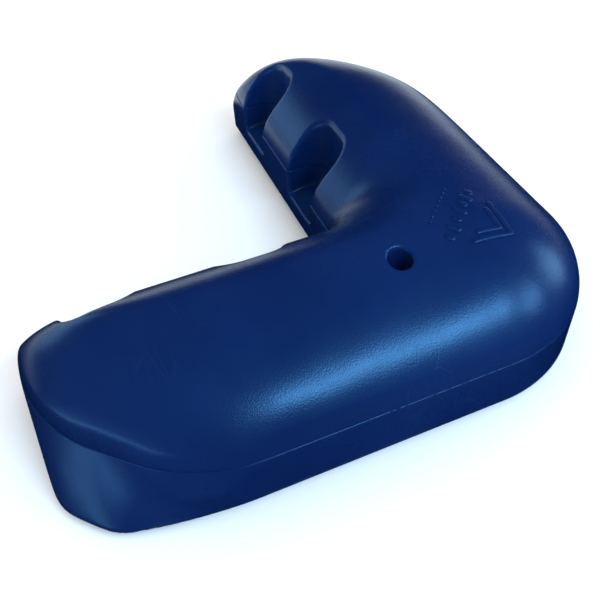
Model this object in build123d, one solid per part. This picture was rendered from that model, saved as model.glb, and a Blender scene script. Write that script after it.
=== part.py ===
from build123d import *
import math
import os

# ---------------------------------------------------------------------------
# L-shaped hand-held paint pad edger.  Millimetres, +Z up.
# Origin: centre of the footprint, on the plane the pad face rests on.
# Two equal arms meet at an outer corner: the X arm runs towards -X, the Y arm
# towards +Y.  Positions on an arm are given as (along, inset): distance along
# the arm from the sharp outer corner, and distance in from its outer face.
# ---------------------------------------------------------------------------

# overall sizes
arm_length = 178.0        # sharp outer corner to arm end
arm_width = 70.0          # outer face to inner face
crown_height = 25.5       # seam to highest part of the crown
rim_height = 19.0         # lower edge of the base to the seam
pad_proud = 2.0           # how far the pad face stands below the base rim

# plan shape
corner_radius = 45.0      # outer corner of the L
end_chamfer = 38.0        # leg of the 45 degree cut across each arm end, at the seam
end_blend = 13.0          # rounding of the plan corners at each arm end
notch_radius = 7.0        # rounding in the crotch of the L
facet_run = 14.5          # how far the end facet leans out between seam and rim

# crown cross-section: a rounded fall towards the outer and the inner side
outer_run = 44.0          # how far in from the outer edge the top is rounded
outer_edge = 3.3          # height above the seam left at the outer edge
inner_run = 35.0
inner_edge = 2.0

# walls and seam
wall = 3.0                # side walls of both shells
ceiling_extra = 0.7       # extra wall of the grip over that of the base
hollow_steps = 5          # ceiling steps inside the grip
hollow_reach = 0.72       # how much of the crown height is hollow
hollow_lean = 1.1         # how far the hollow steps in for each millimetre it rises

# finger pockets
pocket_spots = (102.5, 151.0)  # centre lines along the arm
pocket_width = 22.0
pocket_depth = 16.0
pocket_below_seam = 8.0

# fasteners
well_along = 66.0         # the round screw well in the crown of the X arm
well_inset = 32.5
well_clearance = 0.5      # room for the corner screw's head to go down the well
well_depth = 14.0
screw_spots = ((92.0, 26.0), (138.0, 28.0))   # on each arm
screw_shank_radius = 1.75
screw_head_radius = 3.2
screw_head_height = 2.2
screw_length = 14.0
screw_clearance = 0.25
thread_clearance = 0.05
boss_wall = 2.6
post_margin = 1.2         # base posts stand out this far past the grip bosses
head_gap = 0.4            # arm screw heads stop this far above the pad board
shank_gap = 0.6           # corner screw stops this far above the pad board
slot_width = 0.9          # cross slots of the screw heads
slot_depth = 1.3
tip_chamfer = 1.0

# pad
recess_depth = 6.5
plate_thickness = 2.6
board_thickness = 2.0
flock_thickness = 1.0
pad_clearance = 0.5
stud_spots = ((116.0, 22.0), (52.0, 52.0))
stud_radius = 2.6
stud_slot = 0.9
stud_clearance = 0.15
grommet_wall = 1.4
grommet_lip = 1.2         # height of the lip above the plate
grommet_flange = 1.0      # how far the lip reaches past the hole
foam_setback = 0.6        # foam and flock sit this far inside the board's edge
stud_proud = 1.0          # studs pass the grommets by this much

# derived levels
rim_z = pad_proud
seam_z = rim_z + rim_height
crown_z = seam_z + crown_height
recess_top_z = rim_z + recess_depth
plate_top_z = recess_top_z + plate_thickness
pocket_floor_z = seam_z - pocket_below_seam
corner_x = arm_length / 2
corner_y = -arm_length / 2
facet_slope = facet_run / rim_height


def on_x_arm(along, inset):
    return (corner_x - along, corner_y + inset)


def on_y_arm(along, inset):
    return (corner_x - inset, corner_y + along)


def both_arms(spots):
    places = []
    for along, inset in spots:
        places.append(on_x_arm(along, inset))
        if abs(along - inset) > 0.01:
            places.append(on_y_arm(along, inset))
    return places


# ---------------------------------------------------------------------------
# plan outline of the L
# ---------------------------------------------------------------------------
def chamfer_leg(z):
    """Leg of the end cut at height z: the facet leans out below the seam."""
    return end_chamfer - math.sqrt(2) * facet_slope * max(0.0, seam_z - z)


def outline(inset, leg):
    """Closed L face, moved inwards by `inset`, with an end cut of the given leg."""
    cut = inset * math.sqrt(2)
    side = inset
    end = arm_length - inset
    inner = arm_width - inset
    near = [
        (arm_length - leg - cut + inset, side),
        (end, leg - inset + cut),
        (end, inner),
    ]
    points = [on_x_arm(inset, inset)]
    points += [on_x_arm(a, i) for a, i in near]
    points.append(on_x_arm(inner, inner))
    points += [on_y_arm(a, i) for a, i in reversed(near)]
    face = make_face(Polyline(*points, close=True))
    soft = max(end_blend - inset, 3.0)
    radii = [corner_radius - inset, soft, soft, soft, notch_radius + inset, soft, soft, soft]
    for (px, py), radius in zip(points, radii):
        corner = min(face.vertices(), key=lambda v: math.hypot(v.X - px, v.Y - py))
        face = fillet(corner, radius)
    return face


def slab(inset, leg, low, high):
    """The L outline as a flat slab between two heights."""
    return Pos(0, 0, low) * extrude(outline(inset, leg), amount=high - low)


# ---------------------------------------------------------------------------
# crown: rounded fall of the top towards every edge
# ---------------------------------------------------------------------------
def crown_section(run, edge, beyond, low):
    """Region above the crown, drawn with X inwards from the edge and Y up."""
    drop = crown_height - edge
    radius = (drop ** 2 + run ** 2) / (2 * drop)
    centre_z = crown_z - radius
    half = math.atan2(run, seam_z + edge - centre_z) / 2
    middle = (run - radius * math.sin(half), centre_z + radius * math.cos(half))
    top = crown_z + 12.0
    arc = ThreePointArc((0, seam_z + edge), middle, (run, crown_z))
    rest = Polyline((run, crown_z), (run, top), (-beyond, top), (-beyond, low), (0, low),
                    (0, seam_z + edge))
    return make_face([arc, rest])


def crown_side(start, inward, length):
    """Cutter along one straight outer side; `inward` is a bearing in degrees."""
    across = Vector(math.cos(math.radians(inward)), math.sin(math.radians(inward)), 0)
    plane = Plane(origin=(start[0], start[1], 0), x_dir=across, z_dir=Vector(across.Y, -across.X, 0))
    section = plane * crown_section(outer_run, outer_edge, 8.0, seam_z)
    return extrude(section, amount=length, both=True)


def crown_cutters():
    """All the cutters that shape the top of the grip."""
    half_way = arm_length / 2 + corner_radius
    tools = [
        crown_side(on_x_arm(corner_radius + 200.0, 0), 90.0, 200.0),
        crown_side(on_y_arm(corner_radius + 200.0, 0), 180.0, 200.0),
        crown_side(on_x_arm(arm_length, half_way), 0.0, 200.0),
        crown_side(on_y_arm(arm_length, half_way), 270.0, 200.0),
        crown_side(on_x_arm(arm_length - end_chamfer, 0), 45.0, 200.0),
        crown_side(on_y_arm(arm_length - end_chamfer, 0), 225.0, 200.0),
    ]
    axis_x, axis_y = on_x_arm(corner_radius, corner_radius)
    plane = Plane(origin=(axis_x, axis_y, 0), x_dir=(0, -1, 0), z_dir=(-1, 0, 0))
    section = plane * (Pos(corner_radius) * mirror(
        crown_section(outer_run, outer_edge, 8.0, seam_z), Plane.YZ))
    tools.append(revolve(section, Axis((axis_x, axis_y, 0), (0, 0, 1)), 90.0))
    flank = crown_section(inner_run, inner_edge, 120.0, rim_z - 5.0)
    inner_x, inner_y = on_x_arm(arm_width, arm_width)
    over_x = extrude(Plane(origin=(0, inner_y, 0), x_dir=(0, -1, 0), z_dir=(-1, 0, 0)) * flank,
                     amount=200.0, both=True)
    over_y = extrude(Plane(origin=(inner_x, 0, 0), x_dir=(1, 0, 0), z_dir=(0, -1, 0)) * flank,
                     amount=200.0, both=True)
    tools.append(over_x & over_y)
    return tools


# ---------------------------------------------------------------------------
# repeated shapes
# ---------------------------------------------------------------------------
def pocket_tool(grow, low, high):
    """Finger pockets: upright U-shaped scoops in the inner side of both arms."""
    radius = pocket_width / 2 + grow
    centre_inset = arm_width - pocket_depth + pocket_width / 2
    tool = []
    for along in pocket_spots:
        for place, is_x in ((on_x_arm, True), (on_y_arm, False)):
            cx, cy = place(along, centre_inset)
            ox, oy = place(along, arm_width + 30.0)
            length = arm_width + 30.0 - centre_inset
            size = (2 * radius, length) if is_x else (length, 2 * radius)
            mid = ((cx + ox) / 2, (cy + oy) / 2)
            shape = Pos(cx, cy) * Circle(radius) + Pos(*mid) * Rectangle(*size)
            tool.append(Pos(0, 0, low) * extrude(shape, amount=high - low))
    return tool


def posts(places, radius, low, high):
    return [Pos(x, y, low) * Cylinder(radius, high - low, align=(Align.CENTER, Align.CENTER, Align.MIN))
            for x, y in places]


def core(inset, low, high):
    """Plain L slab that stops short of the end cuts."""
    end = arm_length - end_chamfer - inset * (math.sqrt(2) - 1)
    inner = arm_width - inset
    points = [on_x_arm(inset, inset), on_x_arm(end, inset), on_x_arm(end, inner), on_x_arm(inner, inner)]
    points += [on_y_arm(end, inner), on_y_arm(end, inset)]
    face = make_face(Polyline(*points, close=True))
    corner = min(face.vertices(), key=lambda v: math.hypot(v.X - points[0][0], v.Y - points[0][1]))
    return Pos(0, 0, low) * extrude(fillet(corner, corner_radius - inset), amount=high - low)


def hollow():
    """Stepped hollow of the grip, following the crown at roughly one wall's depth."""
    lowest = seam_z - 1.0
    space = slab(wall + ceiling_extra, end_chamfer, lowest, seam_z + 2.0)
    for step in range(1, hollow_steps):
        rise = crown_height * hollow_reach * step / (hollow_steps - 1)
        space += core(wall + ceiling_extra + rise * hollow_lean, lowest, seam_z + rise)
    return space


def facet_cutters():
    """Wedges that leave the sloped facet across both arm ends."""
    reach = (arm_length - end_chamfer) / math.sqrt(2)
    far = reach + facet_run + 40.0
    low = rim_z - 1.0
    profile = [
        (reach, seam_z + 1.0), (reach, seam_z),
        (reach + facet_slope * (seam_z - low), low),
        (far, low), (far, seam_z + 1.0),
    ]
    tools = []
    for turn in (225.0, 45.0):
        along = Vector(math.cos(math.radians(turn)), math.sin(math.radians(turn)), 0)
        plane = Plane(origin=(corner_x, corner_y, 0), x_dir=along, z_dir=Vector(along.Y, -along.X, 0))
        tools.append(extrude(plane * make_face(Polyline(*profile, close=True)), amount=160.0, both=True))
    return tools


well_place = [on_x_arm(well_along, well_inset)]
screw_places = both_arms(screw_spots)
stud_places = both_arms(stud_spots)
seat_z = recess_top_z + screw_head_height + head_gap      # arm screw heads bear here
post_top_z = seat_z + plate_thickness                # grip bosses stand here
well_floor_z = crown_z - well_depth
well_radius = screw_head_radius + well_clearance
boss_radius = screw_shank_radius + boss_wall

# ---------------------------------------------------------------------------
# grip shell: hollow upper moulding
# ---------------------------------------------------------------------------
cavity = hollow()
for tool in pocket_tool(wall, seam_z - 2.0, crown_z + 6.0):
    cavity -= tool
for tool in posts(well_place, well_radius + wall, seam_z - 2.0, crown_z):
    cavity -= tool
for tool in posts(screw_places, boss_radius, seam_z - 2.0, crown_z):
    cavity -= tool
grip = slab(0.0, end_chamfer, seam_z, crown_z) - cavity
for tool in pocket_tool(0.0, seam_z - 2.0, crown_z + 6.0):
    grip -= tool
# bosses run on below the seam to the posts of the base
for tool in posts(screw_places, boss_radius, post_top_z, seam_z):
    grip += tool
for tool in posts(well_place, boss_radius, post_top_z, seam_z):
    grip += tool
for tool in posts(screw_places, screw_shank_radius + thread_clearance, post_top_z - 1.0,
                  seat_z + screw_length + 1.0):
    grip -= tool
for tool in posts(well_place, well_radius, well_floor_z, crown_z + 5.0):
    grip -= tool
for tool in posts(well_place, screw_shank_radius + screw_clearance, post_top_z - 1.0, crown_z):
    grip -= tool
for tool in crown_cutters():
    grip -= tool

# ---------------------------------------------------------------------------
# base shell: lower moulding with plate, pad recess and posts
# ---------------------------------------------------------------------------
base = slab(0.0, chamfer_leg(rim_z), rim_z, seam_z)
for tool in facet_cutters():
    base -= tool
upper = slab(wall, end_chamfer, plate_top_z, seam_z + 1.0)
for tool in pocket_tool(wall, rim_z, seam_z + 2.0):
    upper -= tool
base -= upper
for tool in pocket_tool(0.0, pocket_floor_z, seam_z + 2.0):
    base -= tool
recess_leg = chamfer_leg(recess_top_z)
recess = slab(wall, recess_leg, rim_z - 1.0, recess_top_z)
base -= recess
for tool in posts(screw_places, boss_radius + post_margin, plate_top_z, post_top_z):
    base += tool
for tool in posts(well_place, boss_radius + post_margin, plate_top_z, post_top_z):
    base += tool
for tool in posts(screw_places, screw_head_radius + screw_clearance, recess_top_z - 1.0, seat_z):
    base -= tool
for tool in posts(screw_places, screw_shank_radius + screw_clearance, seat_z - 1.0, post_top_z + 1.0):
    base -= tool
for tool in posts(well_place, screw_shank_radius + thread_clearance, recess_top_z - 1.0, post_top_z + 1.0):
    base -= tool
for tool in posts(stud_places, stud_radius + grommet_wall, recess_top_z - 1.0, plate_top_z + 1.0):
    base -= tool


# ---------------------------------------------------------------------------
# screws
# ---------------------------------------------------------------------------
def screw(x, y, seat, length, direction):
    """Pan-head screw: the head bears at `seat`, the shank runs in `direction` (+1 up, -1 down)."""
    head = Cylinder(screw_head_radius, screw_head_height, align=(Align.CENTER, Align.CENTER, Align.MIN))
    top_edge = head.edges().group_by(Axis.Z)[-1]
    head = fillet(top_edge, screw_head_height * 0.45)
    for turn in (0, 90):
        slot = Rot(0, 0, turn) * Box(slot_width, screw_head_radius * 1.15, slot_depth)
        head -= Pos(0, 0, screw_head_height) * slot
    shank = Pos(0, 0, -length) * Cylinder(screw_shank_radius, length,
                                          align=(Align.CENTER, Align.CENTER, Align.MIN))
    tip = shank.edges().group_by(Axis.Z)[0]
    body = head + chamfer(tip, tip_chamfer)
    if direction > 0:
        body = Rot(180, 0, 0) * body
    return Pos(x, y, seat) * body


corner_screw = screw(*well_place[0], well_floor_z, well_floor_z - recess_top_z - shank_gap, -1)
arm_screws = [screw(x, y, seat_z, screw_length, +1) for x, y in screw_places]

# ---------------------------------------------------------------------------
# pad refill: board with split studs, foam, flocked face; grommets in the plate
# ---------------------------------------------------------------------------
board_low_z = recess_top_z - board_thickness
board = slab(wall + pad_clearance, recess_leg, board_low_z, recess_top_z)
stud_top_z = plate_top_z + grommet_lip + stud_proud
for (x, y) in stud_places:
    board += Pos(x, y, recess_top_z) * Cylinder(stud_radius, stud_top_z - recess_top_z,
                                                align=(Align.CENTER, Align.CENTER, Align.MIN))
    board -= Pos(x, y, recess_top_z) * Box(stud_slot, 3 * stud_radius, 2 * (stud_top_z - recess_top_z),
                                           align=(Align.CENTER, Align.CENTER, Align.MIN))
foam = slab(wall + pad_clearance + foam_setback, recess_leg, flock_thickness, board_low_z)
flock = slab(wall + pad_clearance + foam_setback, recess_leg, 0.0, flock_thickness)

grommets = []
for (x, y) in stud_places:
    ring = Cylinder(stud_radius + grommet_wall, plate_thickness,
                    align=(Align.CENTER, Align.CENTER, Align.MIN))
    lip = Pos(0, 0, plate_thickness) * Cylinder(stud_radius + grommet_wall + grommet_flange, grommet_lip,
                                                align=(Align.CENTER, Align.CENTER, Align.MIN))
    ring += lip
    ring -= Cylinder(stud_radius + stud_clearance, 20.0)
    grommets.append(Pos(x, y, recess_top_z) * ring)

os.makedirs("parts", exist_ok=True)
nodes = {
    "grip_shell": grip,
    "base_shell": base,
    "corner_screw": corner_screw,
    "arm_screws": Compound(children=arm_screws),
    "pad_board": board,
    "pad_foam": foam,
    "pad_flock": flock,
    "stud_grommets": Compound(children=grommets),
}
for name, shape in nodes.items():
    export_step(shape, f"parts/{name}.step")
    box = shape.bounding_box()
    print(name, len(shape.solids()), round(shape.volume), box.min, box.max)
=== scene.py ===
"""Looks of an L-shaped paint pad edger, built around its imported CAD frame."""
import logging
import math
from dataclasses import dataclass, field
from enum import Enum
from typing import Any, Iterable, Optional, Sequence, Union

import bmesh
import bpy
import numpy as np
from mathutils import Matrix, Vector


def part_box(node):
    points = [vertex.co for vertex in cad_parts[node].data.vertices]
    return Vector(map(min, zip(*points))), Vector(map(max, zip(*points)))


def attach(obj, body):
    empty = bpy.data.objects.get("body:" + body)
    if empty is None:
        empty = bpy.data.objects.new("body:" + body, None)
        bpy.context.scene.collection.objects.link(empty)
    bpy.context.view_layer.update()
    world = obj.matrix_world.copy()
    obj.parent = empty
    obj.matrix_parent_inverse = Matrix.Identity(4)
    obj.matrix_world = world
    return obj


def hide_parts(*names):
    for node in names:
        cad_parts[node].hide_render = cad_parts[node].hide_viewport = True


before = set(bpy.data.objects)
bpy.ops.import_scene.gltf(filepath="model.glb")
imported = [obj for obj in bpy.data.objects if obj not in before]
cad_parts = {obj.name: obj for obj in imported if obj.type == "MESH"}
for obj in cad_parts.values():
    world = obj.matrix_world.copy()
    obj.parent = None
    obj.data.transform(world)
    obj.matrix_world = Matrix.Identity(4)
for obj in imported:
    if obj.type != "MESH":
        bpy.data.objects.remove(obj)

LOG = logging.getLogger("edger")
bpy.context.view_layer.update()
BODY = "body"
REFILL = "pad_refill"
ROOT_HALF = math.sqrt(0.5)
TINY = 1e-9
Array = np.ndarray
Spot = tuple[float, float]
Triple = tuple[float, float, float]
Colour = tuple[float, float, float, float]


class Half(Enum):
    """The two moulded halves, by the way that each faces from the seam."""

    UPPER = 1.0
    LOWER = -1.0


class Slot(Enum):
    """The record's material slots that the new pieces take their finish from."""

    GRIP = "grip_plastic"
    BASE = "base_plastic"
    BOARD = "board_plastic"
    FOAM = "foam"
    FLOCK = "flock"


class CellFeature(Enum):
    """What a cell pattern measures."""

    TO_CENTRE = "F1"
    TO_EDGE = "DISTANCE_TO_EDGE"


# ---------------------------------------------------------------------------
# shader building
# ---------------------------------------------------------------------------
class Link:
    """One output socket that can be used in Python arithmetic."""

    def __init__(self, kit: "ShaderKit", socket: Optional[bpy.types.NodeSocket]) -> None:
        """Wraps a socket.

        Args:
            kit: the shader that the socket belongs to.
            socket: the output socket, or None after the node that ends a tree.
        """
        self.kit = kit
        self.socket = socket

    def _math(self, operation: str, *values: "Value") -> "Link":
        """Adds one Math node.

        Args:
            operation: the node's operation.
            values: its inputs, in order.

        Returns:
            The node's result.
        """
        return self.kit.node("ShaderNodeMath", {"operation": operation}, dict(enumerate(values)))

    def __add__(self, other: "Value") -> "Link":
        """self + other."""
        return self._math("ADD", self, other)

    def __radd__(self, other: "Value") -> "Link":
        """other + self."""
        return self._math("ADD", other, self)

    def __sub__(self, other: "Value") -> "Link":
        """self - other."""
        return self._math("SUBTRACT", self, other)

    def __rsub__(self, other: "Value") -> "Link":
        """other - self."""
        return self._math("SUBTRACT", other, self)

    def __mul__(self, other: "Value") -> "Link":
        """self * other."""
        return self._math("MULTIPLY", self, other)

    def __rmul__(self, other: "Value") -> "Link":
        """other * self."""
        return self._math("MULTIPLY", other, self)

    def at_most(self, other: "Value") -> "Link":
        """The smaller of self and other."""
        return self._math("MINIMUM", self, other)

    def ramp(self, low: float, high: float) -> "Link":
        """Smooth 0 to 1 as self goes from low to high.

        Args:
            low: value that gives 0.
            high: value that gives 1; it may be below low.

        Returns:
            The smooth step.
        """
        return self.kit.node(
            "ShaderNodeMapRange",
            {"interpolation_type": "SMOOTHSTEP", "clamp": True},
            {"Value": self, "From Min": low, "From Max": high, "To Min": 0.0, "To Max": 1.0},
        )


Value = Union[Link, float, int, Sequence[float]]


class ShaderKit:
    """Builds the node tree of one material."""

    def __init__(self, name: str) -> None:
        """Starts an empty material.

        Args:
            name: the material's name.
        """
        self.material = bpy.data.materials.new(name)
        self.material.use_nodes = True
        self.tree = self.material.node_tree
        self.tree.nodes.clear()

    def node(
        self,
        kind: str,
        settings: Optional[dict[str, Any]] = None,
        inputs: Optional[dict[Union[str, int], Value]] = None,
        output: Union[str, int] = 0,
    ) -> Link:
        """Adds one node, sets it up and connects it.

        Args:
            kind: the node type.
            settings: properties set before anything is connected.
            inputs: values or links by socket name or index.
            output: the output that is returned.

        Returns:
            The chosen output.
        """
        made = self.tree.nodes.new(kind)
        for key, value in (settings or {}).items():
            setattr(made, key, value)
        for key, value in (inputs or {}).items():
            socket = made.inputs[key]
            if isinstance(value, Link):
                self.tree.links.new(value.socket, socket)
            else:
                socket.default_value = value
        return Link(self, made.outputs[output] if len(made.outputs) else None)

    def place(self) -> Link:
        """The point on the surface in the object's own frame, in metres."""
        return self.node("ShaderNodeTexCoord", output="Object")

    def height_of(self, vector: Link) -> Link:
        """The Z of a vector."""
        return self.node("ShaderNodeSeparateXYZ", None, {0: vector}, "Z")

    def stretched(self, vector: Link, scale: Sequence[float]) -> Link:
        """A vector scaled by a different amount along each axis.

        Args:
            vector: the vector.
            scale: three factors.

        Returns:
            The scaled vector.
        """
        return self.node("ShaderNodeVectorMath", {"operation": "MULTIPLY"}, {0: vector, 1: scale})

    def noise(self, vector: Link, scale: float, detail: float = 3.0, rough: float = 0.5) -> Link:
        """Fractal noise from 0 to 1.

        Args:
            vector: where it is read.
            scale: cells per metre.
            detail: number of finer layers.
            rough: how strong the finer layers are.

        Returns:
            The noise value.
        """
        return self.node(
            "ShaderNodeTexNoise",
            {"noise_dimensions": "3D"},
            {"Vector": vector, "Scale": scale, "Detail": detail, "Roughness": rough},
            "Fac",
        )

    def cells(self, vector: Link, scale: float,
              feature: CellFeature = CellFeature.TO_CENTRE) -> Link:
        """Distance within Voronoi cells.

        Args:
            vector: where it is read.
            scale: cells per metre.
            feature: what is measured.

        Returns:
            The distance.
        """
        return self.node(
            "ShaderNodeTexVoronoi",
            {"feature": feature.value},
            {"Vector": vector, "Scale": scale},
            "Distance",
        )

    def mix(self, factor: Value, first: Value, second: Value) -> Link:
        """Mixes two colours.

        Args:
            factor: 0 gives the first, 1 the second.
            first: a colour.
            second: a colour.

        Returns:
            The mixed colour.
        """
        return self.node(
            "ShaderNodeMix",
            {"data_type": "RGBA", "clamp_factor": True},
            {0: factor, 6: first, 7: second},
            2,
        )

    def bump(self, height: Link, distance: float, strength: float = 1.0,
             normal: Optional[Link] = None) -> Link:
        """Turns a height into a normal.

        Args:
            height: the height, from 0 to 1.
            distance: what a height of 1 stands for, in metres.
            strength: how much of it is used.
            normal: a normal to add it to.

        Returns:
            The bumped normal.
        """
        inputs: dict[Union[str, int], Value] = {
            "Height": height, "Distance": distance, "Strength": strength}
        if normal is not None:
            inputs["Normal"] = normal
        return self.node("ShaderNodeBump", None, inputs)

    def finish(self, inputs: dict[Union[str, int], Value]) -> bpy.types.Material:
        """Adds the Principled shader and the output.

        Args:
            inputs: the shader's inputs.

        Returns:
            The finished material.
        """
        shader = self.node("ShaderNodeBsdfPrincipled", None, inputs)
        self.node("ShaderNodeOutputMaterial", None, {"Surface": shader})
        return self.material


def rgba(red: float, green: float, blue: float) -> Colour:
    """A linear colour with full alpha."""
    return (red, green, blue, 1.0)


@dataclass(frozen=True)
class MouldedBlue:
    """Satin navy moulded plastic with faint handling marks. Scales are in cells per metre."""

    name: str
    deep: Colour = rgba(0.0013, 0.0108, 0.066)
    light: Colour = rgba(0.0019, 0.0142, 0.082)
    dust: Colour = rgba(0.020, 0.045, 0.115)
    gloss_tint: Colour = rgba(0.30, 0.66, 1.0)
    roughness: float = 0.27
    refraction: float = 1.49
    gloss: float = 0.5
    rim_z: float = 0.0
    scuff_height: float = 0.004
    cloud_scale: float = 22.0
    cloud_range: Spot = (0.32, 0.68)
    cloud_gloss: float = 0.09
    flow_scale: float = 75.0
    flow_stretch: Triple = (1.0, 1.0, 2.5)
    flow_range: Spot = (0.42, 0.62)
    flow_gloss: float = 0.08
    hair_scale: float = 260.0
    hair_stretch: Triple = (1.0, 0.09, 0.4)
    hair_range: Spot = (0.035, 0.0)
    patch_scale: float = 31.0
    patch_range: Spot = (0.60, 0.72)
    scratch_show: float = 0.10
    scuff_show: float = 0.35
    worn_gloss: float = 0.2
    ripple_scale: float = 48.0
    ripple_height: float = 0.0009
    grain_scale: float = 1900.0
    grain_height: float = 0.00006
    scratch_height: float = 0.00005

    def build(self) -> bpy.types.Material:
        """Makes the material.

        Returns:
            The finished material.
        """
        kit = ShaderKit(self.name)
        at = kit.place()
        cloud = kit.noise(at, self.cloud_scale, 4.0, 0.55)
        flow = kit.noise(kit.stretched(at, self.flow_stretch), self.flow_scale, 3.0, 0.6)
        colour = kit.mix(cloud.ramp(*self.cloud_range), self.deep, self.light)
        hair = kit.cells(kit.stretched(at, self.hair_stretch), self.hair_scale, CellFeature.TO_EDGE)
        patches = kit.noise(at, self.patch_scale, 2.0).ramp(*self.patch_range)
        scratches = hair.ramp(*self.hair_range) * patches
        low = kit.height_of(at).ramp(self.rim_z + self.scuff_height, self.rim_z)
        scuffed = low * flow.ramp(*self.flow_range)
        worn = (scratches * self.scratch_show + scuffed * self.scuff_show).at_most(1.0)
        uneven = (cloud - 0.5) * self.cloud_gloss + (flow - 0.5) * self.flow_gloss
        ripple = kit.noise(at, self.ripple_scale, 1.0, 0.4)
        grain = kit.noise(at, self.grain_scale, 2.0, 0.6)
        normal = kit.bump(ripple, self.ripple_height, 0.35)
        normal = kit.bump(grain, self.grain_height, 0.55, normal)
        normal = kit.bump(1.0 - scratches, self.scratch_height, 0.6, normal)
        return kit.finish({
            "Base Color": kit.mix(worn, colour, self.dust),
            "Roughness": self.roughness + uneven + worn * self.worn_gloss,
            "Normal": normal,
            "IOR": self.refraction,
            "Specular IOR Level": self.gloss,
            "Specular Tint": self.gloss_tint,
        })


@dataclass(frozen=True)
class ZincPlate:
    """Bright zinc plating with a brushed, slightly dulled surface."""

    name: str = "zinc_plate"
    bright: Colour = rgba(0.58, 0.58, 0.56)
    dull: Colour = rgba(0.36, 0.35, 0.33)
    roughness: float = 0.28
    spot_scale: float = 900.0
    spot_range: Spot = (0.4, 0.65)
    spot_gloss: float = 0.2
    turning_scale: float = 1400.0
    turning_stretch: Triple = (1.0, 1.0, 12.0)
    turning_height: float = 0.00004

    def build(self) -> bpy.types.Material:
        """Makes the material.

        Returns:
            The finished material.
        """
        kit = ShaderKit(self.name)
        at = kit.place()
        spots = kit.noise(at, self.spot_scale, 4.0, 0.6)
        turning = kit.noise(kit.stretched(at, self.turning_stretch), self.turning_scale, 2.0)
        return kit.finish({
            "Base Color": kit.mix(spots.ramp(*self.spot_range), self.bright, self.dull),
            "Metallic": 1.0,
            "Roughness": self.roughness + spots * self.spot_gloss,
            "Normal": kit.bump(turning, self.turning_height, 0.5),
        })


@dataclass(frozen=True)
class OpenCellFoam:
    """Cream open-cell foam, with fine pores among larger ones; the pits are painted darker as shade."""

    name: str = "open_cell_foam"
    skin: Colour = rgba(0.72, 0.62, 0.40)
    # The darker pore colour is painted shade for the pits of the pores.
    pore_shade: Colour = rgba(0.33, 0.25, 0.13)
    roughness: float = 0.92
    sheen: float = 0.15
    fine_scale: float = 1300.0
    fine_range: Spot = (0.15, 0.55)
    large_scale: float = 520.0
    large_range: Spot = (0.1, 0.35)
    large_share: float = 0.3
    tone_scale: float = 40.0
    tone_share: float = 0.2
    tone_gloss: float = 0.08
    pore_depth: float = 0.0005

    def build(self) -> bpy.types.Material:
        """Makes the material.

        Returns:
            The finished material.
        """
        kit = ShaderKit(self.name)
        at = kit.place()
        fine = kit.cells(at, self.fine_scale).ramp(*self.fine_range)
        large = kit.cells(at, self.large_scale).ramp(*self.large_range)
        tone = kit.noise(at, self.tone_scale, 3.0)
        depth = fine * (1.0 - self.large_share) + large * self.large_share
        # Mix factor: mostly pit depth, which paints shade into the pores, with some random tone.
        shade = depth * (1.0 - self.tone_share) + tone * self.tone_share
        return kit.finish({
            "Base Color": kit.mix(shade, self.pore_shade, self.skin),
            "Roughness": self.roughness - tone * self.tone_gloss,
            "Normal": kit.bump(depth, self.pore_depth, 0.9),
            "Sheen Weight": self.sheen,
        })


@dataclass(frozen=True)
class WhiteFlock:
    """Short dense white pile, painted darker where it is low as shade between the fibres."""

    name: str = "white_flock"
    tip: Colour = rgba(0.83, 0.82, 0.77)
    # The darker root colour is painted shade for the low parts between the fibres.
    root: Colour = rgba(0.50, 0.48, 0.43)
    roughness: float = 0.95
    sheen: float = 0.45
    sheen_roughness: float = 0.5
    pile_scale: float = 3200.0
    pile_range: Spot = (0.6, 0.0)
    pile_depth: float = 0.0006
    lay_scale: float = 160.0
    lay_stretch: Triple = (1.0, 0.35, 1.0)
    lay_share: float = 0.25
    lay_gloss: float = 0.06

    def build(self) -> bpy.types.Material:
        """Makes the material.

        Returns:
            The finished material.
        """
        kit = ShaderKit(self.name)
        at = kit.place()
        pile = kit.cells(at, self.pile_scale).ramp(*self.pile_range)
        lay = kit.noise(kit.stretched(at, self.lay_stretch), self.lay_scale, 4.0, 0.6)
        height = pile * (1.0 - self.lay_share) + lay * self.lay_share
        # Low parts of the pile take the root colour: painted shade between the fibres.
        return kit.finish({
            "Base Color": kit.mix(height, self.root, self.tip),
            "Roughness": self.roughness - lay * self.lay_gloss,
            "Normal": kit.bump(height, self.pile_depth, 0.9),
            "Sheen Weight": self.sheen,
            "Sheen Roughness": self.sheen_roughness,
        })


@dataclass(frozen=True)
class MottledFinish:
    """Plain two-tone finish with a fine grain: moulded board or rubber."""

    name: str
    base: Colour
    shade: Colour
    roughness: float
    cloud_scale: float
    cloud_rough: float
    cloud_range: Spot
    cloud_gloss: float
    grain_scale: float
    grain_height: float

    def build(self) -> bpy.types.Material:
        """Makes the material.

        Returns:
            The finished material.
        """
        kit = ShaderKit(self.name)
        at = kit.place()
        cloud = kit.noise(at, self.cloud_scale, 4.0, self.cloud_rough)
        grain = kit.noise(at, self.grain_scale, 2.0)
        return kit.finish({
            "Base Color": kit.mix(cloud.ramp(*self.cloud_range), self.base, self.shade),
            "Roughness": self.roughness + cloud * self.cloud_gloss,
            "Normal": kit.bump(grain, self.grain_height, 0.5),
        })


PALE_MOULDING = MottledFinish(
    "pale_moulding", base=rgba(0.62, 0.61, 0.56), shade=rgba(0.50, 0.49, 0.44), roughness=0.45,
    cloud_scale=35.0, cloud_rough=0.5, cloud_range=(0.35, 0.65), cloud_gloss=0.12,
    grain_scale=1500.0, grain_height=0.00008)
BLACK_RUBBER = MottledFinish(
    "black_rubber", base=rgba(0.012, 0.012, 0.013), shade=rgba(0.045, 0.045, 0.047), roughness=0.68,
    cloud_scale=300.0, cloud_rough=0.6, cloud_range=(0.4, 0.7), cloud_gloss=0.15,
    grain_scale=2500.0, grain_height=0.00006)


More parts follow.
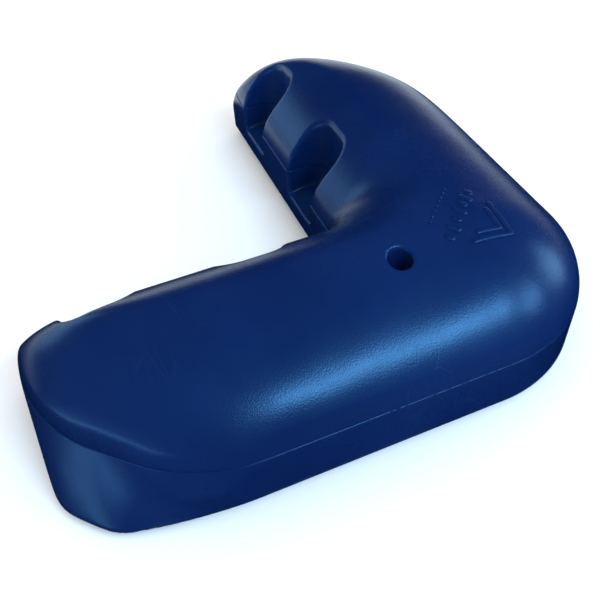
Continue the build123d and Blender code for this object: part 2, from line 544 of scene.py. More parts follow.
@dataclass(frozen=True)
class PalePaper:
    """Seamless studio paper."""

    name: str = "pale_paper"
    tone: Colour = rgba(0.93, 0.93, 0.93)
    shade: Colour = rgba(0.91, 0.91, 0.91)
    roughness: float = 0.9
    gloss: float = 0.1
    fibre_scale: float = 400.0

    def build(self) -> bpy.types.Material:
        """Makes the material.

        Returns:
            The finished material.
        """
        kit = ShaderKit(self.name)
        fibre = kit.noise(kit.place(), self.fibre_scale, 3.0)
        return kit.finish({
            "Base Color": kit.mix(fibre, self.tone, self.shade),
            "Roughness": self.roughness,
            "Specular IOR Level": self.gloss,
        })


# ---------------------------------------------------------------------------
# sizes and the moulded form
# ---------------------------------------------------------------------------
@dataclass(frozen=True)
class EdgerSizes:
    """Where the tool stands in the CAD frame, in metres."""

    corner_x: float
    corner_y: float
    arm_length: float
    rim_z: float
    seam_z: float
    crown_z: float
    recess_top_z: float
    arm_width: float = 0.070
    wall: float = 0.003

    @classmethod
    def from_frame(cls) -> "EdgerSizes":
        """Reads the sizes off the CAD nodes.

        Returns:
            The sizes.
        """
        low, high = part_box("base_shell")
        board_thickness = 0.002
        return cls(
            corner_x=high.x,
            corner_y=low.y,
            arm_length=high.x - low.x,
            rim_z=low.z,
            seam_z=high.z,
            crown_z=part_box("grip_shell")[1].z,
            recess_top_z=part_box("pad_foam")[1].z + board_thickness,
        )

    @property
    def recess_depth(self) -> float:
        """Depth of the pad recess's ceiling below the seam."""
        return self.seam_z - self.recess_top_z

    def on_x_arm(self, along: float, inset: float) -> Spot:
        """A place on the arm that runs along X, from the outer corner."""
        return self.corner_x - along, self.corner_y + inset

    def on_y_arm(self, along: float, inset: float) -> Spot:
        """A place on the arm that runs along Y, from the outer corner."""
        return self.corner_x - inset, self.corner_y + along


def blend_max(a: Array, b: Array, radius: float) -> Array:
    """Larger of two fields, with the edge between them rounded.

    Args:
        a: a field.
        b: a field.
        radius: radius of the round.

    Returns:
        The blended field.
    """
    lift_a, lift_b = a + radius, b + radius
    corner = np.sqrt(np.maximum(lift_a, 0.0) ** 2 + np.maximum(lift_b, 0.0) ** 2)
    return corner + np.minimum(np.maximum(lift_a, lift_b), 0.0) - radius


def blend_min(a: Array, b: Array, radius: float) -> Array:
    """Smaller of two fields, with the valley between them rounded by a radius."""
    return -blend_max(-a, -b, radius)


@dataclass(frozen=True)
class LPlan:
    """Outline of the L, seen from above, as signed distances to its sides.

    cut_turn is how fast the end's cut turns per metre below the seam, as far as least_turn, and
    blend_fade is how fast its rounding shrinks there.
    """

    sizes: EdgerSizes
    corner_radius: float = 0.0449
    end_cut: float = 0.0376
    end_blend: float = 0.0131
    low_blend: float = 0.0040
    blend_fade: float = 1.1
    cut_turn: float = 42.0
    least_turn: float = 0.15
    notch_radius: float = 0.0070

    def sides(self, x: Array, y: Array) -> Array:
        """Distance outside the two long outer sides and the round corner between them."""
        across, along = x - self.sizes.corner_x, y - self.sizes.corner_y
        return blend_max(-along, across, self.corner_radius)

    def end_planes(self, x: Array, y: Array, depth: Union[Array, float] = 0.0) -> tuple[Array, ...]:
        """Distances outside the faces that end the arms.

        The cut across each end turns towards the long side as it goes down from the seam.

        Args:
            x: place across, in the CAD frame.
            y: place along, in the CAD frame.
            depth: depth below the seam.

        Returns:
            The cut and the end of the X arm, then those of the Y arm.
        """
        across, along = x - self.sizes.corner_x, y - self.sizes.corner_y
        length = self.sizes.arm_length
        turn = np.maximum(1.0 - self.cut_turn * np.asarray(depth), self.least_turn)
        size = np.sqrt(1.0 + turn ** 2)
        x_cut = ((self.end_cut - (length + across)) * turn - along) / size
        y_cut = ((self.end_cut - (length - along)) * turn + across) / size
        return x_cut, -length - across, y_cut, along - length

    def outer(self, x: Array, y: Array, depth: Union[Array, float] = 0.0) -> Array:
        """Distance outside the outer sides and the ends.

        Args:
            x: place across, in the CAD frame.
            y: place along, in the CAD frame.
            depth: depth below the seam.

        Returns:
            The distance, negative within.
        """
        x_cut, x_end, y_cut, y_end = self.end_planes(x, y, depth)
        blend = np.maximum(self.low_blend, self.end_blend - self.blend_fade * np.asarray(depth))
        made = blend_max(blend_max(self.sides(x, y), x_cut, blend), x_end, self.end_blend)
        return blend_max(blend_max(made, y_cut, blend), y_end, self.end_blend)

    def inner(self, x: Array, y: Array) -> Array:
        """Distance outside the two inner sides.

        Args:
            x: place across, in the CAD frame.
            y: place along, in the CAD frame.

        Returns:
            The distance, negative within.
        """
        across = -self.sizes.arm_width - (x - self.sizes.corner_x)
        along = (y - self.sizes.corner_y) - self.sizes.arm_width
        return blend_min(across, along, self.notch_radius)

    def under(self, x: Array, y: Array) -> Array:
        """Distance outside the outline at the level of the pad recess's ceiling."""
        return np.maximum(self.outer(x, y, self.sizes.recess_depth), self.inner(x, y))


@dataclass(frozen=True)
class FingerPocket:
    """Upright scoop in the inner side of an arm, where a finger hooks in."""

    along: float
    half_width: float = 0.0106
    depth: float = 0.0152
    flare: float = 0.030
    corner: float = 0.0075
    floor_drop: float = 0.0105
    floor_slope: float = 0.20
    floor_start: float = -0.004
    floor_round: float = 0.0020

    def field(self, along: Array, inward: Array, rise: Array) -> Array:
        """Signed field of the scoop.

        Args:
            along: place along the arm, from the outer corner.
            inward: place inwards from the inner side.
            rise: height above the seam.

        Returns:
            The field, negative in the scoop.
        """
        grow = self.flare * rise
        side = np.abs(along - self.along) - self.half_width - grow
        back = inward - self.depth - grow
        plan = blend_max(side, back, self.corner)
        floor = -self.floor_drop + self.floor_slope * np.maximum(inward, self.floor_start) - rise
        return blend_max(plan, floor, self.floor_round)


@dataclass(frozen=True)
class BodyForm:
    """The whole moulded body as a signed field, negative inside.

    The crown falls away to the long sides, the ends and the inner sides. Each fall has a run, a drop
    and an edge, and meeting is the power that joins them.
    """

    sizes: EdgerSizes
    plan: LPlan
    crown_rise: float = 0.0262
    outer_run: float = 0.0627
    outer_drop: float = 0.0338
    outer_edge: float = 0.0033
    end_run: float = 0.0520
    end_drop: float = 0.0335
    end_edge: float = 0.0032
    shoulder_round: float = 0.0028
    crown_scale: float = 0.6
    inner_run: float = 0.0429
    inner_drop: float = 0.0551
    inner_edge: float = 0.0075
    steepest: float = 0.93
    meeting: float = 2.6
    rim_round: float = 0.0020
    pocket_round: float = 0.0013
    pockets: tuple[FingerPocket, ...] = (FingerPocket(0.1025), FingerPocket(0.1510))
    well_along: float = 0.0660
    well_inset: float = 0.0325
    well_radius: float = 0.0037
    well_depth: float = 0.0140
    well_round: float = 0.0007

    def fall(self, distance: Array, run: float, drop: float, edge: float) -> Array:
        """How far a quarter-ellipse fall has dropped at a distance from the edge.

        Args:
            distance: signed distance to the edge, negative within.
            run: width of the fall.
            drop: height of the fall.
            edge: how far past the edge the ellipse would end.

        Returns:
            The drop, straight once the fall is steep.
        """
        steep = self.steepest
        across = np.maximum(1.0 + (distance - edge) / run, 0.0)
        root = math.sqrt(1.0 - steep ** 2)
        curved = 1.0 - np.sqrt(1.0 - np.minimum(across, steep) ** 2)
        straight = (1.0 - root) + (across - steep) * steep / root
        return drop * np.where(across <= steep, curved, straight)

    def crown(self, x: Array, y: Array) -> Array:
        """Height of the crown above the seam.

        Args:
            x: place across, in the CAD frame.
            y: place along, in the CAD frame.

        Returns:
            The height.
        """
        inner = self.fall(self.plan.inner(x, y), self.inner_run, self.inner_drop, self.inner_edge)
        outer = self.fall(self.plan.sides(x, y), self.outer_run, self.outer_drop, self.outer_edge)
        total = inner ** self.meeting + outer ** self.meeting
        for plane in self.plan.end_planes(x, y):
            ending = self.fall(plane, self.end_run, self.end_drop, self.end_edge)
            total = total + ending ** self.meeting
        return self.crown_rise - total ** (1.0 / self.meeting)

    def scoops(self, x: Array, y: Array, z: Array) -> Array:
        """Field of all four finger pockets.

        Args:
            x: across, in the CAD frame.
            y: along, in the CAD frame.
            z: up, in the CAD frame.

        Returns:
            The field, negative inside them.
        """
        sizes = self.sizes
        on_x = (sizes.corner_x - x, sizes.corner_y + sizes.arm_width - y)
        on_y = (y - sizes.corner_y, x - (sizes.corner_x - sizes.arm_width))
        fields = [pocket.field(along, inward, z - sizes.seam_z)
                  for along, inward in (on_x, on_y) for pocket in self.pockets]
        return np.minimum.reduce(np.broadcast_arrays(*fields))

    def well(self, x: Array, y: Array, z: Array) -> Array:
        """Field of the round screw well.

        Args:
            x: across, in the CAD frame.
            y: along, in the CAD frame.
            z: up, in the CAD frame.

        Returns:
            The field, negative inside it.
        """
        at_x, at_y = self.sizes.on_x_arm(self.well_along, self.well_inset)
        wide = np.hypot(x - at_x, y - at_y) - self.well_radius
        floor = self.sizes.crown_z - self.well_depth - z
        return blend_max(wide, floor, self.well_round)

    def field(self, x: Array, y: Array, z: Array) -> Array:
        """Signed field of the body.

        Args:
            x: across, in the CAD frame.
            y: along, in the CAD frame.
            z: up, in the CAD frame.

        Returns:
            The field, negative inside.
        """
        rise = z - self.sizes.seam_z
        side = np.maximum(self.plan.outer(x, y, np.maximum(0.0, -rise)), self.plan.inner(x, y))
        top = (rise - self.crown(x, y)) * self.crown_scale
        body = blend_max(side, top, self.shoulder_round)
        body = blend_max(body, self.sizes.rim_z - z, self.rim_round)
        body = blend_max(body, -self.scoops(x, y, z), self.pocket_round)
        return blend_max(body, -self.well(x, y, z), self.well_round)


@dataclass(frozen=True)
class BaseForm:
    """The lower half of the body, with the pad recess, counterbores and stud holes."""

    body: BodyForm
    screw_places: tuple[Spot, ...]
    stud_places: tuple[Spot, ...]
    screw_radius: float = 0.00345
    screw_seat_z: float = 0.0111
    stud_radius: float = 0.0040
    stud_top_z: float = 0.0138
    mouth_round: float = 0.0005
    board_gap: float = 0.00005

    def field(self, x: Array, y: Array, z: Array) -> Array:
        """Signed field of the moulding.

        Args:
            x: across, in the CAD frame.
            y: along, in the CAD frame.
            z: up, in the CAD frame.

        Returns:
            The field, negative inside.
        """
        sizes = self.body.sizes
        inside = self.body.plan.under(x, y) + sizes.wall
        recess = blend_max(inside, z - sizes.recess_top_z - self.board_gap, self.mouth_round)
        made = blend_max(self.body.field(x, y, z), -recess, self.mouth_round)
        made = self._bored(made, x, y, z, self.screw_places, self.screw_radius, self.screw_seat_z)
        return self._bored(made, x, y, z, self.stud_places, self.stud_radius, self.stud_top_z)

    @staticmethod
    def _bored(made: Array, x: Array, y: Array, z: Array,
               places: Iterable[Spot], radius: float, top: float) -> Array:
        """Bores blind holes from below.

        Args:
            made: the field that is bored.
            x: across, in the CAD frame.
            y: along, in the CAD frame.
            z: up, in the CAD frame.
            places: centres of the holes.
            radius: radius of the holes.
            top: level that they reach.

        Returns:
            The bored field.
        """
        for at_x, at_y in places:
            hole = np.maximum(np.hypot(x - at_x, y - at_y) - radius, z - top)
            made = np.maximum(made, -hole)
        return made


@dataclass(frozen=True)
class PadLayer:
    """One layer of the pad: a flat L with rounded sides, slightly uneven where it is soft.

    The wave numbers of the unevenness are in radians per metre.
    """

    plan: LPlan
    low_z: float
    high_z: float
    inset: float
    rounding: float
    unevenness: float
    wave_x: float = 310.0
    wave_y: float = 270.0
    wave_z: float = 500.0
    bend_y: float = 170.0
    bend: float = 1.3

    def field(self, x: Array, y: Array, z: Array) -> Array:
        """Signed field of the layer.

        Args:
            x: across, in the CAD frame.
            y: along, in the CAD frame.
            z: up, in the CAD frame.

        Returns:
            The field, negative inside.
        """
        sway = np.sin(x * self.wave_x + self.bend * np.sin(y * self.bend_y))
        sway = sway * np.sin(y * self.wave_y + z * self.wave_z)
        side = self.plan.under(x, y) + self.inset + self.unevenness * (1.0 + sway)
        middle, half = (self.low_z + self.high_z) / 2, (self.high_z - self.low_z) / 2
        return blend_max(side, np.abs(z - middle) - half, self.rounding)


Form = Union[BodyForm, BaseForm, PadLayer]


# ---------------------------------------------------------------------------
# meshes from forms
# ---------------------------------------------------------------------------
@dataclass(frozen=True)
class Skinner:
    """Turns a signed field into an even mesh of quads that lies on its zero surface."""

    step: Triple = (0.0008, 0.0008, 0.0008)
    relax_rounds: int = 3
    relax_share: float = 0.5
    probe: float = 0.00004
    least_square_slope: float = 0.05
    margin_below: float = 2.37
    margin_above: float = 3.0

    def slope(self, form: Form, points: Array) -> tuple[Array, Array]:
        """Value and gradient of the field at some points.

        Args:
            form: the form.
            points: N points.

        Returns:
            N values and N gradients.
        """
        value = form.field(*points.T)
        gradient = np.empty_like(points)
        for axis in range(3):
            offset = np.zeros(3)
            offset[axis] = self.probe
            ahead = form.field(*(points + offset).T)
            behind = form.field(*(points - offset).T)
            gradient[:, axis] = (ahead - behind) / (2 * self.probe)
        return value, gradient

    def settle(self, form: Form, points: Array, rounds: int = 3) -> Array:
        """Moves points onto the zero surface.

        Args:
            form: the form.
            points: N points near it.
            rounds: number of Newton steps.

        Returns:
            The moved points.
        """
        limit = max(self.step)
        for _ in range(rounds):
            value, gradient = self.slope(form, points)
            square = np.maximum((gradient ** 2).sum(axis=1), self.least_square_slope)
            move = gradient * (value / square)[:, None]
            length = np.linalg.norm(move, axis=1, keepdims=True)
            points = points - move * np.minimum(1.0, limit / np.maximum(length, TINY))
        return points

    def net(self, form: Form, low: Vector, high: Vector) -> tuple[Array, Array]:
        """Surface net of the form on a grid.

        Args:
            form: the form.
            low: lowest corner of the grid.
            high: highest corner of the grid.

        Returns:
            Vertices and quads that face outwards.
        """
        axes = [np.arange(low[k] - self.margin_below * self.step[k],
                          high[k] + self.margin_above * self.step[k], self.step[k]) for k in range(3)]
        value = form.field(*np.meshgrid(*axes, indexing="ij", sparse=True))
        inside = value < 0
        corners = [np.array([(n >> k) & 1 for k in range(3)]) for n in range(8)]
        size = np.array(value.shape) - 1
        count = sum(inside[tuple(slice(c[k], c[k] + size[k]) for k in range(3))].astype(np.int8)
                    for c in corners)
        cells = np.argwhere((count > 0) & (count < 8))
        total, hits = np.zeros((len(cells), 3)), np.zeros(len(cells))
        for first in corners:
            for axis in range(3):
                if first[axis]:
                    continue
                second = first.copy()
                second[axis] = 1
                a, b = value[tuple((cells + first).T)], value[tuple((cells + second).T)]
                crossed = (a < 0) != (b < 0)
                share = np.where(crossed, a / np.where(crossed, a - b, 1.0), 0.0)
                total += (first + share[:, None] * (second - first)) * crossed[:, None]
                hits += crossed
        start = np.array([axis[0] for axis in axes])
        points = start + (cells + total / hits[:, None]) * np.array(self.step)
        number = np.full(tuple(size), -1, dtype=np.int64)
        number[tuple(cells.T)] = np.arange(len(cells))
        return points, self._quads(inside, number)

    @staticmethod
    def _quads(inside: Array, number: Array) -> Array:
        """Quads across every grid edge that goes through the surface.

        Args:
            inside: for each grid point, whether it is inside the form.
            number: for each grid cell, its vertex, or -1.

        Returns:
            Quads that face outwards.
        """
        quads = []
        for axis in range(3):
            one, two = (axis + 1) % 3, (axis + 2) % 3
            here = [slice(None)] * 3
            here[axis] = slice(0, -1)
            ahead = [slice(None)] * 3
            ahead[axis] = slice(1, None)
            leaving, reached = inside[tuple(here)], inside[tuple(ahead)]
            for starts_inside in (True, False):
                mask = (leaving & ~reached) if starts_inside else (~leaving & reached)
                edges = np.argwhere(mask)
                within = [(edges[:, k] >= 1) & (edges[:, k] < number.shape[k]) for k in (one, two)]
                edges = edges[within[0] & within[1]]
                ring = []
                for step_one, step_two in ((-1, -1), (0, -1), (0, 0), (-1, 0)):
                    cell = edges.copy()
                    cell[:, one] += step_one
                    cell[:, two] += step_two
                    ring.append(number[tuple(cell.T)])
                quads.append(np.stack(ring if starts_inside else ring[::-1], axis=1))
        return np.concatenate(quads)

    def skin(self, form: Form, low: Vector, high: Vector) -> tuple[Array, Array]:
        """Even mesh of the form.

        Args:
            form: the form.
            low: lowest corner of the space it is in.
            high: highest corner of the space it is in.

        Returns:
            Vertices and quads.
        """
        points, quads = self.net(form, low, high)
        points = self.settle(form, points)
        pairs = np.concatenate([quads[:, [k, (k + 1) % 4]] for k in range(4)])
        pairs = np.concatenate([pairs, pairs[:, ::-1]])
        degree = np.bincount(pairs[:, 0], minlength=len(points)).astype(float)
        for _ in range(self.relax_rounds):
            mean = np.stack([np.bincount(pairs[:, 0], points[pairs[:, 1], k], len(points)) / degree
                             for k in range(3)], axis=1)
            _, gradient = self.slope(form, points)
            normal = gradient / np.maximum(np.linalg.norm(gradient, axis=1, keepdims=True), TINY)
            shift = (mean - points) * self.relax_share
            shift -= normal * (shift * normal).sum(axis=1, keepdims=True)
            points = self.settle(form, points + shift, 1)
        return self.settle(form, points, 2), quads


def add_mesh(name: str, points: Array, faces: Iterable[Sequence[int]]) -> bpy.types.Object:
    """Makes an object out of points and faces.

    Args:
        name: the object's name.
        points: its vertices.
        faces: its faces.

    Returns:
        The object, in the scene.
    """
    mesh = bpy.data.meshes.new(name)
    mesh.from_pydata(np.asarray(points).tolist(), [], [tuple(map(int, face)) for face in faces])
    made = bpy.data.objects.new(name, mesh)
    bpy.context.scene.collection.objects.link(made)
    return made


def smooth(made: bpy.types.Object, angle: float) -> None:
    """Shades an object smooth, with its sharp edges kept.

    Args:
        made: the object.
        angle: smallest angle of a sharp edge, in degrees.
    """
    mesh = made.data
    mesh.polygons.foreach_set("use_smooth", [True] * len(mesh.polygons))
    mesh.set_sharp_from_angle(angle=math.radians(angle))


@dataclass(frozen=True)
class SeamCut:
    """Cuts a skin at the seam and gives the cut edge a small bevelled lip."""

    lip_height: float = 0.00032
    lip_inset: float = 0.00042
    merge_distance: float = 1e-7

    def cut(self, made: bpy.types.Object, form: BodyForm, skinner: Skinner, half: Half) -> None:
        """Keeps one half of a skin and closes it at the seam.

        Args:
            made: the object that is cut.
            form: the body's form, for the way inwards.
            skinner: reads the form's slope.
            half: which half is kept.
        """
        side, seam = half.value, form.sizes.seam_z
        shape = bmesh.new()
        shape.from_mesh(made.data)
        level = seam + side * self.lip_height
        bmesh.ops.bisect_plane(
            shape, geom=shape.verts[:] + shape.edges[:] + shape.faces[:], dist=self.merge_distance,
            plane_co=(0.0, 0.0, level), plane_no=(0.0, 0.0, -side), clear_outer=True)
        rim = [edge for edge in shape.edges if edge.is_boundary]
        grown = bmesh.ops.extrude_edge_only(shape, edges=rim)["geom"]
        verts = [part for part in grown if isinstance(part, bmesh.types.BMVert)]
        points = np.array([vert.co[:] for vert in verts])
        points[:, 2] = seam
        _, slope = skinner.slope(form, points)
        slope[:, 2] = 0.0
        away = slope / np.maximum(np.linalg.norm(slope, axis=1, keepdims=True), TINY)
        for vert, place in zip(verts, points - away * self.lip_inset):
            vert.co = place
        rim = [edge for edge in shape.edges if edge.is_boundary]
        bmesh.ops.triangle_fill(shape, edges=rim, normal=(0.0, 0.0, -side))
        bmesh.ops.recalc_face_normals(shape, faces=shape.faces[:])
        shape.to_mesh(made.data)
        shape.free()


# ---------------------------------------------------------------------------
# pieces
# ---------------------------------------------------------------------------
@dataclass
class Shells:
    """The two moulded halves of the body."""

    form: BodyForm
    skinner: Skinner
    screw_spots: tuple[Spot, ...] = ((0.092, 0.026), (0.138, 0.028))
    stud_spots: tuple[Spot, ...] = ((0.116, 0.022),)
    corner_stud: float = 0.052
    overlap: float = 0.004
    sharp_angle: float = 50.0
    made: dict[str, bpy.types.Object] = field(default_factory=dict)

    def build(self) -> "Shells":
        """Makes both halves.

        Returns:
            Itself.
        """
        sizes = self.form.sizes
        base = BaseForm(self.form, self._both(self.screw_spots), self.stud_places())
        reach = sizes.arm_length
        levels = {Half.UPPER: (sizes.seam_z - self.overlap, sizes.crown_z),
                  Half.LOWER: (sizes.rim_z, sizes.seam_z + self.overlap)}
        for name, form, node, half in (("grip_skin", self.form, "grip_shell", Half.UPPER),
                                       ("base_skin", base, "base_shell", Half.LOWER)):
            low = Vector((sizes.corner_x - reach, sizes.corner_y, levels[half][0]))
            high = Vector((sizes.corner_x, sizes.corner_y + reach, levels[half][1]))
            made = add_mesh(name, *self.skinner.skin(form, low, high))
            SeamCut().cut(made, self.form, self.skinner, half)
            smooth(made, self.sharp_angle)
            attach(made, BODY)
            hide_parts(node)
            self.made[name] = made
            LOG.info("%s has %d faces", name, len(made.data.polygons))
        return self

    def stud_places(self) -> tuple[Spot, ...]:
        """Where the pad's studs go through the plate: one on each arm and one at the corner."""
        at_corner = self.form.sizes.on_x_arm(self.corner_stud, self.corner_stud)
        return self._both(self.stud_spots) + (at_corner,)

    def _both(self, spots: Iterable[Spot]) -> tuple[Spot, ...]:
        """The same spots on both arms, given along the arm and in from its outer side."""
        sizes = self.form.sizes
        return tuple(place(*spot) for place in (sizes.on_x_arm, sizes.on_y_arm) for spot in spots)

    def dress(self, grip: bpy.types.Material, base: bpy.types.Material) -> None:
        """Gives both halves their finish.

        Args:
            grip: finish of the upper half.
            base: finish of the lower half.
        """
        for name, finish, slot in (("grip_skin", grip, Slot.GRIP), ("base_skin", base, Slot.BASE)):
            self.made[name].data.materials.append(finish)


@dataclass
class RaisedMark:
    """Plain raised strokes moulded on the crown at the corner: two chevrons and rows of bars.

    Chevrons are given by their half-width and tip, bars by their half-heights in turn.
    """

    form: BodyForm
    centre: float = 0.0395
    stroke_half: float = 0.00110
    stroke_height: float = 0.00070
    sink: float = 0.00015
    sampling: float = 0.0004
    chevrons: tuple[Spot, ...] = ((0.0062, 0.0098), (0.0098, 0.0134))
    bar_count: int = 7
    bar_pitch: float = 0.0037
    bar_level: float = -0.0026
    bar_halves: Spot = (0.0018, 0.0026)
    dash_count: int = 8
    dash_pitch: float = 0.0023
    dash_level: float = -0.0094
    dash_half: float = 0.0006
    dash_share: float = 0.5
    profile_steps: int = 8
    profile_power: int = 4
    least_width: float = 0.05
    probe: float = 1e-4
    sharp_angle: float = 80.0
    made: Optional[bpy.types.Object] = None

    def strokes(self) -> list[tuple[list[Spot], float]]:
        """Centre lines of the strokes, across and outboard of the mark's centre, and their widths.

        Returns:
            Pairs of a line and a half-width.
        """
        lines: list[tuple[list[Spot], float]] = []
        for arm, top in self.chevrons:
            lines.append(([(-arm, top - arm), (0.0, top), (arm, top - arm)], self.stroke_half))
        for index in range(self.bar_count):
            across = (index - (self.bar_count - 1) / 2) * self.bar_pitch
            tall = self.bar_halves[index % 2]
            ends = [(across, self.bar_level - tall), (across, self.bar_level + tall)]
            lines.append((ends, self.stroke_half))
        for index in range(self.dash_count):
            across = (index - (self.dash_count - 1) / 2) * self.dash_pitch
            ends = [(across - self.dash_half, self.dash_level), (across + self.dash_half, self.dash_level)]
            lines.append((ends, self.stroke_half * self.dash_share))
        return lines

    def _on_crown(self, across: float, outboard: float) -> tuple[Array, Array]:
        """A point of the crown and its normal.

        Args:
            across: place across the corner's diagonal.
            outboard: place along the diagonal, towards the outer corner.

        Returns:
            The point and the unit normal.
        """
        sizes = self.form.sizes
        mid_x, mid_y = sizes.on_x_arm(self.centre, self.centre)
        x = mid_x + (outboard + across) * ROOT_HALF
        y = mid_y + (across - outboard) * ROOT_HALF
        spots = np.array([[x, y], [x + self.probe, y], [x, y + self.probe]])
        heights = self.form.crown(spots[:, 0], spots[:, 1]) + sizes.seam_z
        normal = np.array([heights[0] - heights[1], heights[0] - heights[2], self.probe])
        return np.array([x, y, heights[0]]), normal / np.linalg.norm(normal)

    def build(self) -> "RaisedMark":
        """Makes all the strokes as one piece.

        Returns:
            Itself.
        """
        points: list[Array] = []
        faces: list[tuple[int, ...]] = []
        for line, half in self.strokes():
            self._add_stroke(points, faces, line, half)
        self.made = add_mesh("grip_mark", np.array(points), faces)
        smooth(self.made, self.sharp_angle)
        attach(self.made, BODY)
        return self

    def _add_stroke(self, points: list[Array], faces: list[tuple[int, ...]],
                    line: list[Spot], half: float) -> None:
        """Adds one stroke: a low rounded bar with tapered ends that follows the crown.

        Args:
            points: vertices so far, added to.
            faces: faces so far, added to.
            line: the stroke's centre line.
            half: its half-width.
        """
        path = self._walk(line)
        steps = self.profile_steps
        profile = [math.cos(math.pi * k / steps) for k in range(steps + 1)]
        first = len(points)
        total = len(path)
        for index, place in enumerate(path):
            ahead = path[min(index + 1, total - 1)]
            behind = path[max(index - 1, 0)]
            way = np.array(ahead) - np.array(behind)
            way = way / np.linalg.norm(way)
            side = np.array([way[1], -way[0]])
            end = min(index, total - 1 - index) * self.sampling / half
            plump = math.sqrt(max(0.0, 1.0 - max(0.0, 1.0 - end) ** 2))
            for part in profile:
                spot = np.array(place) + side * part * half * max(plump, self.least_width)
                point, normal = self._on_crown(spot[0], spot[1])
                rise = self.stroke_height * (1.0 - part ** self.profile_power) * plump - self.sink
                points.append(point + normal * rise)
        wide = len(profile)
        for index in range(total - 1):
            start = first + index * wide
            for part in range(wide):
                a, b = start + part, start + (part + 1) % wide
                faces.append((a, b, b + wide, a + wide))
        last = first + (total - 1) * wide
        faces.append(tuple(range(first + wide - 1, first - 1, -1)))
        faces.append(tuple(range(last, last + wide)))

    def _walk(self, line: list[Spot]) -> list[Spot]:
        """Evenly spaced points along a line of straight runs.

        Args:
            line: the ends of its runs.

        Returns:
            The points, with both ends.
        """
        found: list[Spot] = []
        for start, stop in zip(line, line[1:]):
            steps = max(2, round(math.dist(start, stop) / self.sampling))
            for share in (index / steps for index in range(steps)):
                found.append(tuple(a + (b - a) * share for a, b in zip(start, stop)))
        found.append(line[-1])
        return found

    def dress(self, finish: bpy.types.Material) -> None:
        """Gives the strokes the grip's finish."""
        self.made.data.materials.append(finish)


@dataclass(frozen=True)
class LayerPlan:
    """How one layer of the pad is made, and how softly its sides are rounded."""

    name: str
    node: str
    slot: Slot
    step_up: float
    inset: float
    rounding: float
    unevenness: float


@dataclass
class PadRefill:
    """Board with split studs, foam and flocked face of the pad."""

    form: BodyForm
    stud_places: tuple[Spot, ...]
    layers: tuple[LayerPlan, ...] = (
        LayerPlan("board_layer", "pad_board", Slot.BOARD, 0.0005, 0.0035, 0.0004, 0.0),
        LayerPlan("foam_layer", "pad_foam", Slot.FOAM, 0.0009, 0.0041, 0.0008, 0.00022),
        LayerPlan("flock_face", "pad_flock", Slot.FLOCK, 0.00028, 0.0041, 0.00035, 0.00010),
    )
    step_across: float = 0.0014
    stud_radius: float = 0.0026
    stud_sink: float = 0.0004
    stud_tip: tuple[Spot, ...] = ((0.0007, 1.0), (0.0002, 0.88), (0.0, 0.72))
    stud_facets: int = 16
    slot_half: float = 0.00045
    fill: float = 1.0
    layer_angle: float = 70.0
    board_angle: float = 40.0
    made: dict[Slot, bpy.types.Object] = field(default_factory=dict)

    def build(self) -> "PadRefill":
        """Makes the layers and the studs.

        Returns:
            Itself.
        """
        for plan in self.layers:
            low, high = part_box(plan.node)
            high.z = min(high.z, self.form.sizes.recess_top_z)
            layer = PadLayer(self.form.plan, low.z, high.z, plan.inset, plan.rounding, plan.unevenness)
            skinner = Skinner(step=(self.step_across, self.step_across, plan.step_up))
            piece = add_mesh(plan.name, *skinner.skin(layer, low, high))
            smooth(piece, self.layer_angle)
            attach(piece, REFILL)
            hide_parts(plan.node)
            self.made[plan.slot] = piece
            LOG.info("%s has %d faces", plan.name, len(piece.data.polygons))
        self._add_studs(self.made[Slot.BOARD])
        return self

    def _add_studs(self, board: bpy.types.Object) -> None:
        """Adds the split studs that grip the grommets.

        Args:
            board: the board they stand on.
        """
        shape = bmesh.new()
        shape.from_mesh(board.data)
        low, high = self.form.sizes.recess_top_z - self.stud_sink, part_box("pad_board")[1].z
        levels = [(low, 1.0)] + [(high - below, share) for below, share in self.stud_tip]
        count = self.stud_facets + 1
        for x, y in self.stud_places:
            for side in (-1.0, 1.0):
                rings = []
                for level, share in levels:
                    radius = self.stud_radius * share
                    start = math.asin(self.slot_half / radius)
                    angles = [start + (math.pi - 2 * start) * k / self.stud_facets for k in range(count)]
                    rings.append([shape.verts.new((x + side * radius * math.sin(a),
                                                   y - radius * math.cos(a), level)) for a in angles])
                for lower, upper in zip(rings, rings[1:]):
                    for k in range(count):
                        after = (k + 1) % count
                        shape.faces.new((lower[k], lower[after], upper[after], upper[k]))
                shape.faces.new(rings[-1])
                shape.faces.new(rings[0][::-1])
        bmesh.ops.recalc_face_normals(shape, faces=shape.faces[:])
        shape.to_mesh(board.data)
        shape.free()
        smooth(board, self.board_angle)

    def dress(self, finishes: dict[Slot, bpy.types.Material]) -> None:
        """Gives each layer its finish, by material slot."""
        for slot, finish in finishes.items():
            self.made[slot].data.materials.append(finish)


def finish_node(node: str, finish: bpy.types.Material) -> None:
    """Gives a CAD node that is shown as it is its finish.

    Args:
        node: the node's name.
        finish: its material.
    """
    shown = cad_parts[node]
    shown.data.materials.clear()
    shown.data.materials.append(finish)


